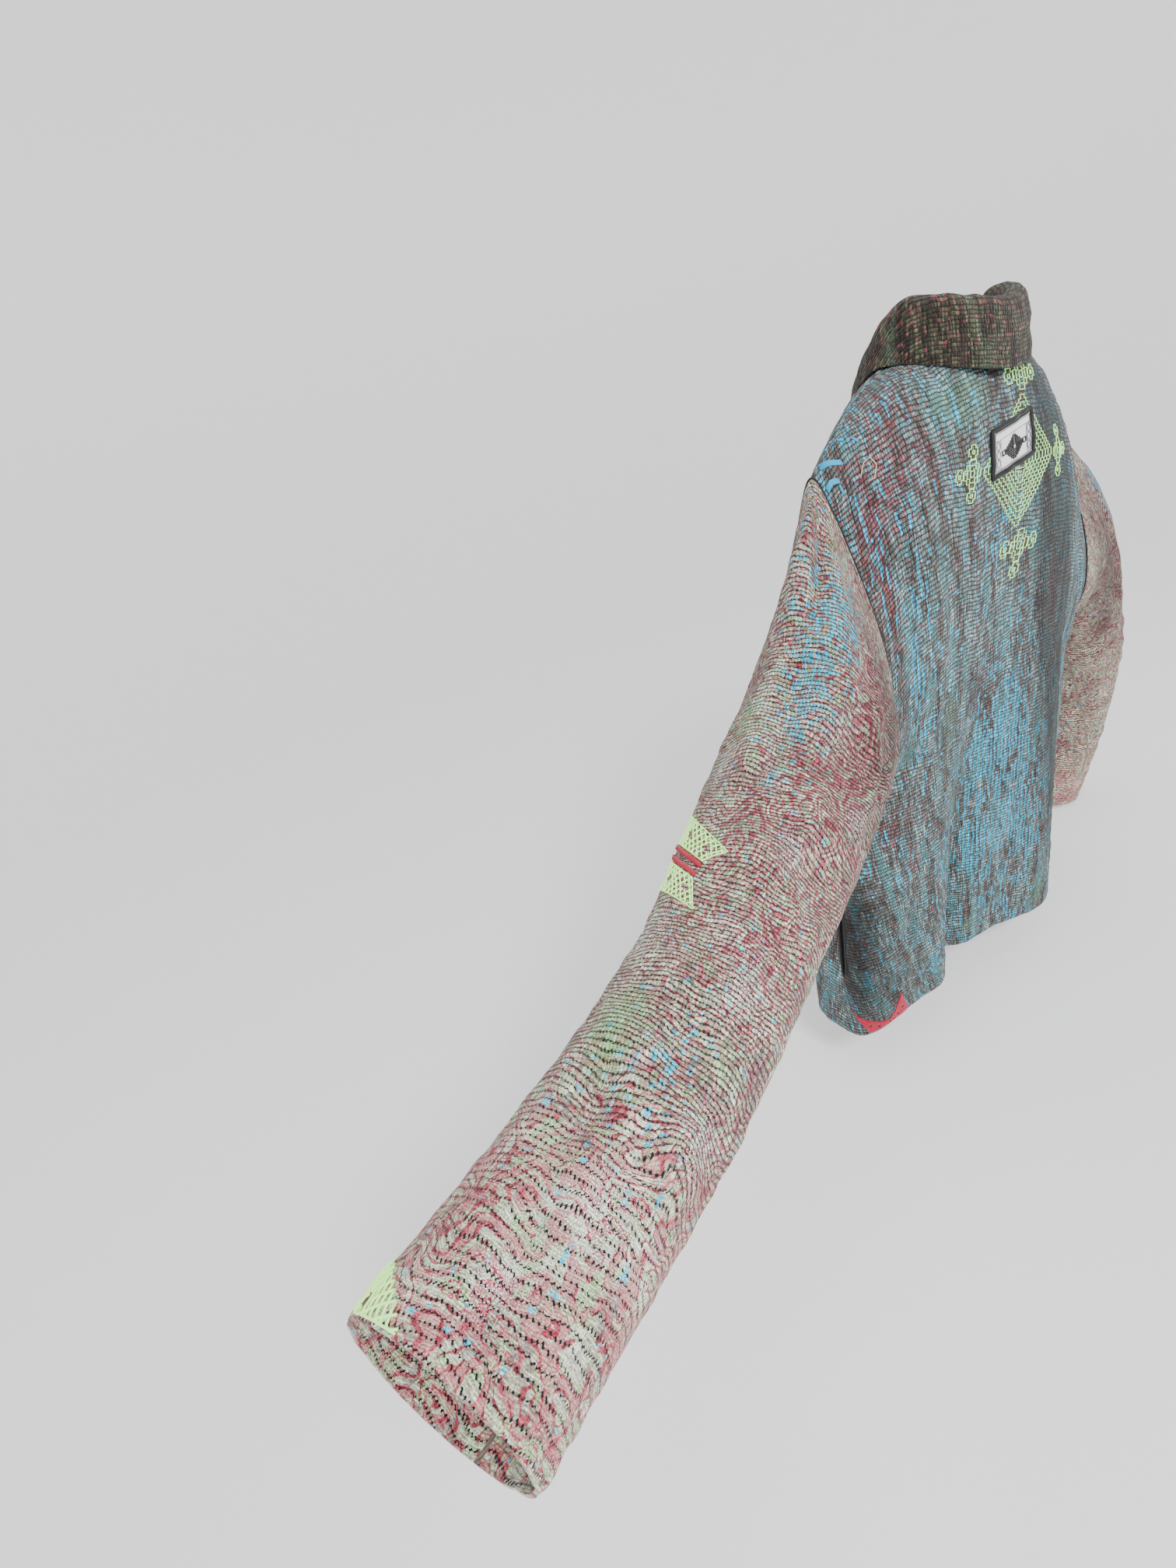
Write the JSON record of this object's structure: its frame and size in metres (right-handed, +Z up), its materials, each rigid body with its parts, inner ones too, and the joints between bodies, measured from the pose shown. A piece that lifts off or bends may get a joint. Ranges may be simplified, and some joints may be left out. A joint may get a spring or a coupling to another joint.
{
  "type": "quilted jacket",
  "caption": "Hip-length hand-stitched quilted jacket in a worn pose, hollow inside, with drop shoulders, a rolled collar, an open front, a back patch and pockets in the side seams.",
  "frame": {"origin": "middle of the neck at the height of the shoulders, where the wearer holds the jacket up", "axes": "+Z up, -Y the way the wearer faces, +X to the wearer's left, along the outstretched sleeve"},
  "size_m": [1.2428, 0.3611, 0.7542],
  "materials": {
    "body": "matte quilted cotton with running stitch",
    "sleeve": "matte quilted cotton with running stitch",
    "collar": "matte quilted cotton",
    "patch": "embroidered twill with a bound edge",
    "pocket": "plain dark cotton"
  },
  "bodies": {
    "root": {"back": "body", "front_left": "body", "front_right": "body", "sleeve_left": "sleeve", "sleeve_right": "sleeve", "collar": "collar", "patch": "patch", "pocket_left": "pocket", "pocket_right": "pocket"}
  },
  "joints": []
}
